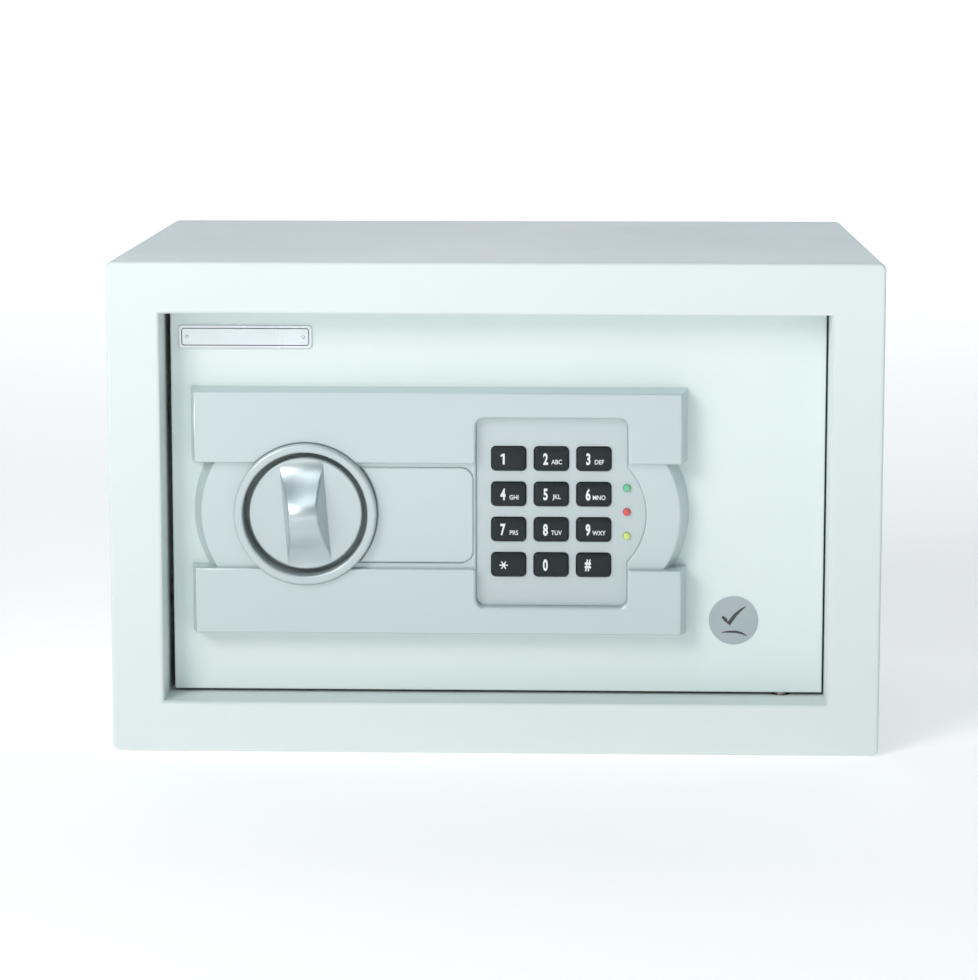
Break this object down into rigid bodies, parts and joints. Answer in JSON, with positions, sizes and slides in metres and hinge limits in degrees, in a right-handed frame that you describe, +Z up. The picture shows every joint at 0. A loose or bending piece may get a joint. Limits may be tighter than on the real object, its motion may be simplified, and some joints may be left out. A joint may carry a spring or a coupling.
{
  "type": "in room safe",
  "caption": "Small free-standing steel safe with a recessed hinged door, a rotary knob that throws two bolts, and a push-key pad with status lamps.",
  "frame": {"origin": "centre of the underside of the cabinet", "axes": "+X to the right as seen from the door, +Y towards the back, +Z up"},
  "size_m": [0.31, 0.206, 0.2],
  "materials": {
    "cabinet_paint": "fine textured powder coat",
    "door_paint": "fine textured powder coat",
    "zinc_steel": "zinc plated",
    "bronze": "sintered",
    "felt": "felt",
    "lid_plastic": "matt",
    "black_plastic": "matt",
    "cell_wrap": "wrapped can",
    "spring_steel": "bright",
    "panel_plastic": "silver paint, satin",
    "plate_plastic": "silver paint, satin",
    "bezel_plastic": "silver paint, satin",
    "knob_plastic": "silver paint, satin",
    "dome_rubber": "matt",
    "board": "solder resist",
    "lamp_green": "clear tinted",
    "lamp_red": "clear tinted",
    "lamp_yellow": "clear tinted",
    "copper_wire": "enamelled winding",
    "chrome": "plated",
    "brass": "machined",
    "wire_red": "insulation",
    "badge_metal": "brushed",
    "label": "printed film",
    "key_black": "satin",
    "red_plastic": "gloss"
  },
  "bodies": {
    "cabinet": {"body_shell": "cabinet_paint", "front_frame": "cabinet_paint", "back_panel": "cabinet_paint", "strike_plate": "zinc_steel", "door_stop": "cabinet_paint", "hinge_brackets": "zinc_steel", "hinge_bushes": "bronze", "floor_mat": "felt"},
    "door": {"door_plate": "door_paint", "hinge_pins": "zinc_steel", "hinge_blocks": "zinc_steel", "lock_bracket": "zinc_steel", "rear_cover": "door_paint", "battery_tray": "black_plastic", "batteries": "cell_wrap", "battery_contacts": "spring_steel", "lock_panel": "panel_plastic", "keypad_plate": "plate_plastic", "knob_bezel": "bezel_plastic", "keypad_dome_sheet": "dome_rubber", "keypad_circuit_board": "board", "status_lamp_green": "lamp_green", "status_lamp_red": "lamp_red", "status_lamp_yellow": "lamp_yellow", "solenoid_frame": "zinc_steel", "solenoid_coil": "copper_wire", "override_lock_barrel": "chrome", "override_lock_nut": "chrome", "wiring_loom": "wire_red", "cover_screws": "zinc_steel", "panel_screws": "zinc_steel", "guide_screws": "zinc_steel", "name_badge": "badge_metal", "inspection_label": "label", "plunger_spring": "spring_steel"},
    "knob": {"knob": "knob_plastic", "knob_spindle": "zinc_steel", "drive_cam": "zinc_steel", "spindle_circlip": "spring_steel"},
    "bolts": {"bolt_carriage": "zinc_steel", "bolt_upper": "chrome", "bolt_lower": "chrome"},
    "plunger": {"solenoid_plunger": "zinc_steel"},
    "reset_button": {"reset_button": "red_plastic"},
    "battery_lid": {"battery_lid": "lid_plastic"},
    "key_cover": {"key_cover": "panel_plastic"},
    "override": {"override_lock_plug": "brass", "override_lock_cam": "zinc_steel"},
    "key_1": {"key_1": "key_black"},
    "key_2": {"key_2": "key_black"},
    "key_3": {"key_3": "key_black"},
    "key_4": {"key_4": "key_black"},
    "key_5": {"key_5": "key_black"},
    "key_6": {"key_6": "key_black"},
    "key_7": {"key_7": "key_black"},
    "key_8": {"key_8": "key_black"},
    "key_9": {"key_9": "key_black"},
    "key_star": {"key_star": "key_black"},
    "key_0": {"key_0": "key_black"},
    "key_hash": {"key_hash": "key_black"}
  },
  "joints": [
    {"name": "door_swing", "type": "hinge", "parent": "cabinet", "child": "door", "pos_m": [0.11672, -0.0788, 0.1], "axis": [0, 0, 1], "range_deg": [0, 100]},
    {"name": "knob_turn", "type": "hinge", "parent": "door", "child": "knob", "pos_m": [-0.0764, -0.09, 0.0975], "axis": [0, -1, 0], "range_deg": [0, 90]},
    {"name": "bolt_slide", "type": "slide", "parent": "door", "child": "bolts", "axis": [-1, 0, 0], "range_m": [0, 0.01414]},
    {"name": "plunger_lift", "type": "slide", "parent": "door", "child": "plunger", "axis": [0, 0, 1], "range_m": [0, 0.002], "stiffness_N_per_m": 100, "springref_m": -0.003, "deforming": ["plunger_spring"]},
    {"name": "key_1_press", "type": "slide", "parent": "door", "child": "key_1", "axis": [0, 1, 0], "range_m": [0, 0.001], "stiffness_N_per_m": 500},
    {"name": "key_2_press", "type": "slide", "parent": "door", "child": "key_2", "axis": [0, 1, 0], "range_m": [0, 0.001], "stiffness_N_per_m": 500},
    {"name": "key_3_press", "type": "slide", "parent": "door", "child": "key_3", "axis": [0, 1, 0], "range_m": [0, 0.001], "stiffness_N_per_m": 500},
    {"name": "key_4_press", "type": "slide", "parent": "door", "child": "key_4", "axis": [0, 1, 0], "range_m": [0, 0.001], "stiffness_N_per_m": 500},
    {"name": "key_5_press", "type": "slide", "parent": "door", "child": "key_5", "axis": [0, 1, 0], "range_m": [0, 0.001], "stiffness_N_per_m": 500},
    {"name": "key_6_press", "type": "slide", "parent": "door", "child": "key_6", "axis": [0, 1, 0], "range_m": [0, 0.001], "stiffness_N_per_m": 500},
    {"name": "key_7_press", "type": "slide", "parent": "door", "child": "key_7", "axis": [0, 1, 0], "range_m": [0, 0.001], "stiffness_N_per_m": 500},
    {"name": "key_8_press", "type": "slide", "parent": "door", "child": "key_8", "axis": [0, 1, 0], "range_m": [0, 0.001], "stiffness_N_per_m": 500},
    {"name": "key_9_press", "type": "slide", "parent": "door", "child": "key_9", "axis": [0, 1, 0], "range_m": [0, 0.001], "stiffness_N_per_m": 500},
    {"name": "key_star_press", "type": "slide", "parent": "door", "child": "key_star", "axis": [0, 1, 0], "range_m": [0, 0.001], "stiffness_N_per_m": 500},
    {"name": "key_0_press", "type": "slide", "parent": "door", "child": "key_0", "axis": [0, 1, 0], "range_m": [0, 0.001], "stiffness_N_per_m": 500},
    {"name": "key_hash_press", "type": "slide", "parent": "door", "child": "key_hash", "axis": [0, 1, 0], "range_m": [0, 0.001], "stiffness_N_per_m": 500},
    {"name": "reset_press", "type": "slide", "parent": "door", "child": "reset_button", "axis": [0, -1, 0], "range_m": [0, 0.0015], "stiffness_N_per_m": 500},
    {"name": "battery_lid_off", "type": "slide", "parent": "door", "child": "battery_lid", "axis": [0, 1, 0], "range_m": [0, 0.06]},
    {"name": "key_cover_off", "type": "slide", "parent": "door", "child": "key_cover", "axis": [0, -1, 0], "range_m": [0, 0.02]},
    {"name": "override_turn", "type": "hinge", "parent": "door", "child": "override", "pos_m": [-0.024, -0.08, 0.0975], "axis": [0, -1, 0], "range_deg": [0, 90]}
  ],
  "couplings": [
    {"joint": "knob_turn", "follows": "bolt_slide", "rad_per_m": 111.07}
  ]
}
